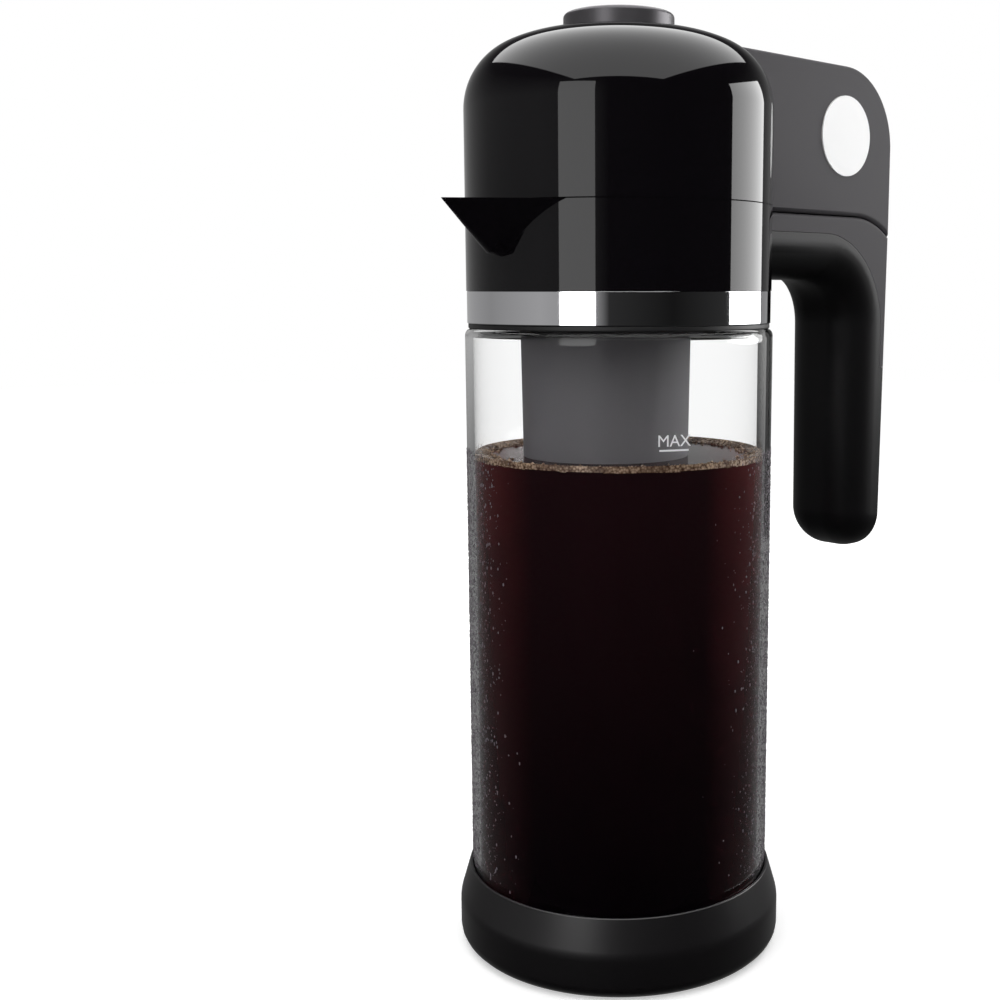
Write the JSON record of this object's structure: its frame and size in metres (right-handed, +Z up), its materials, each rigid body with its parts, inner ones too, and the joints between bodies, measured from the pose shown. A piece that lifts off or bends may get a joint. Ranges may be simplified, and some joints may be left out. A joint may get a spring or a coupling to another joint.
{
  "type": "cold brew coffee maker",
  "caption": "Cold brew coffee maker: glass carafe in a soft boot with a spouted collar and handle, hanging filter column, and a lift-off domed brew head with a pump housing and a top button.",
  "frame": {"origin": "centre of the boot's flat underside, on the carafe's axis", "axes": "+Z up along the carafe, +X towards the handle, -X towards the spout"},
  "size_m": [0.196, 0.1088, 0.3048],
  "materials": {
    "boot_rubber": "soft matte, lightly pebbled",
    "clear_glass": "clear, polished",
    "black_seal": "matte",
    "polished_steel": "polished, faintly brushed round",
    "nylon": "fine moulded texture",
    "gloss_black": "high gloss",
    "handle_grey": "fine spark texture",
    "grip_black": "soft satin",
    "screw_steel": "zinc plated",
    "column_grey": "satin moulded",
    "mesh_steel": "fine woven mesh",
    "clear_tube": "translucent silicone",
    "badge_white": "smooth, bare",
    "motor_steel": "drawn can",
    "motor_copper": "wound copper",
    "board_green": "solder mask",
    "chip_black": "moulded",
    "light_pipe": "clear moulded",
    "button_grey": "satin"
  },
  "bodies": {
    "carafe": {"base_boot": "boot_rubber", "glass_carafe": "clear_glass", "neck_seal": "black_seal", "steel_band": "polished_steel", "neck_ring": "nylon", "spout_collar": "gloss_black", "handle_shell": "handle_grey", "handle_grip": "grip_black", "handle_screws": "screw_steel"},
    "filter_unit": {"brew_column": "column_grey", "mesh_sleeve": "mesh_steel", "column_cap": "column_grey"},
    "brew_head": {"dome_cover": "gloss_black", "head_base": "nylon", "head_gasket": "black_seal", "base_screws": "screw_steel", "suction_tube": "clear_tube", "intake_strainer": "nylon", "tube_grommet": "black_seal", "suction_hose": "clear_tube", "delivery_hose": "clear_tube", "spray_head": "nylon", "rear_housing": "handle_grey", "badge_disc": "badge_white", "motor_can": "motor_steel", "pump_volute": "nylon", "motor_cradle": "nylon", "control_board": "board_green", "board_parts": "chip_black", "power_socket": "nylon", "status_light": "light_pipe", "switch_plate": "nylon", "plate_screws": "screw_steel", "press_switch": "chip_black"},
    "brew_button": {"top_button": "button_grey", "switch_plunger": "button_grey"},
    "pump_rotor": {"motor_armature": "motor_copper", "motor_shaft": "motor_steel", "pump_impeller": "nylon"}
  },
  "joints": [
    {"name": "head_lift", "type": "slide", "parent": "carafe", "child": "brew_head", "axis": [0, 0, 1], "range_m": [0, 0.26]},
    {"name": "filter_lift", "type": "slide", "parent": "carafe", "child": "filter_unit", "axis": [0, 0, 1], "range_m": [0, 0.2]},
    {"name": "button_press", "type": "slide", "parent": "brew_head", "child": "brew_button", "axis": [0, 0, -1], "range_m": [0, 0.0015], "stiffness_N_per_m": 600},
    {"name": "rotor_spin", "type": "hinge", "parent": "brew_head", "child": "pump_rotor", "pos_m": [0.072, 0, 0.264], "axis": [1, 0, 0], "continuous": true}
  ],
  "couplings": [
    {"joint": "filter_lift", "follows": "head_lift", "ratio": 0.75}
  ]
}
